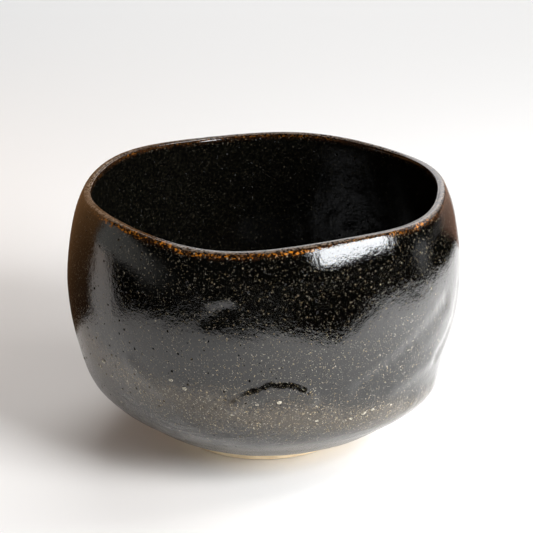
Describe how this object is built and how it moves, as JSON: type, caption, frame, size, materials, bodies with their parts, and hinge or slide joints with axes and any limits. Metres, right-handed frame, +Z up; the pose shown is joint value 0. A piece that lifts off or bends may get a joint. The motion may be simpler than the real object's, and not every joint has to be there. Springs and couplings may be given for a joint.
{
  "type": "matcha bowl",
  "caption": "Hand-formed tea bowl with a rounded hip, an inward-leaning wavy rim, black glaze coats and a low bare-clay foot ring.",
  "frame": {"origin": "on the ground, under the middle of the bowl's plan", "axes": "+Z up out of the mouth, -Y towards the side taken as the front, +X to its right"},
  "size_m": [0.1252, 0.1276, 0.0824],
  "materials": {
    "fired_clay": "bare fired stoneware clay, matt, pale buff with fine sand",
    "foot_clay": "bare fired stoneware clay, matt, pale buff, pared and worn smooth where it rests",
    "outer_glaze": "glossy black iron glaze with fine gold-buff specks, amber where it runs thin at the lip",
    "inner_glaze": "glossy black iron glaze with faint specks"
  },
  "bodies": {
    "root": {"clay_body": "fired_clay", "foot_ring": "foot_clay", "outer_glaze": "outer_glaze", "inner_glaze": "inner_glaze"}
  },
  "joints": []
}
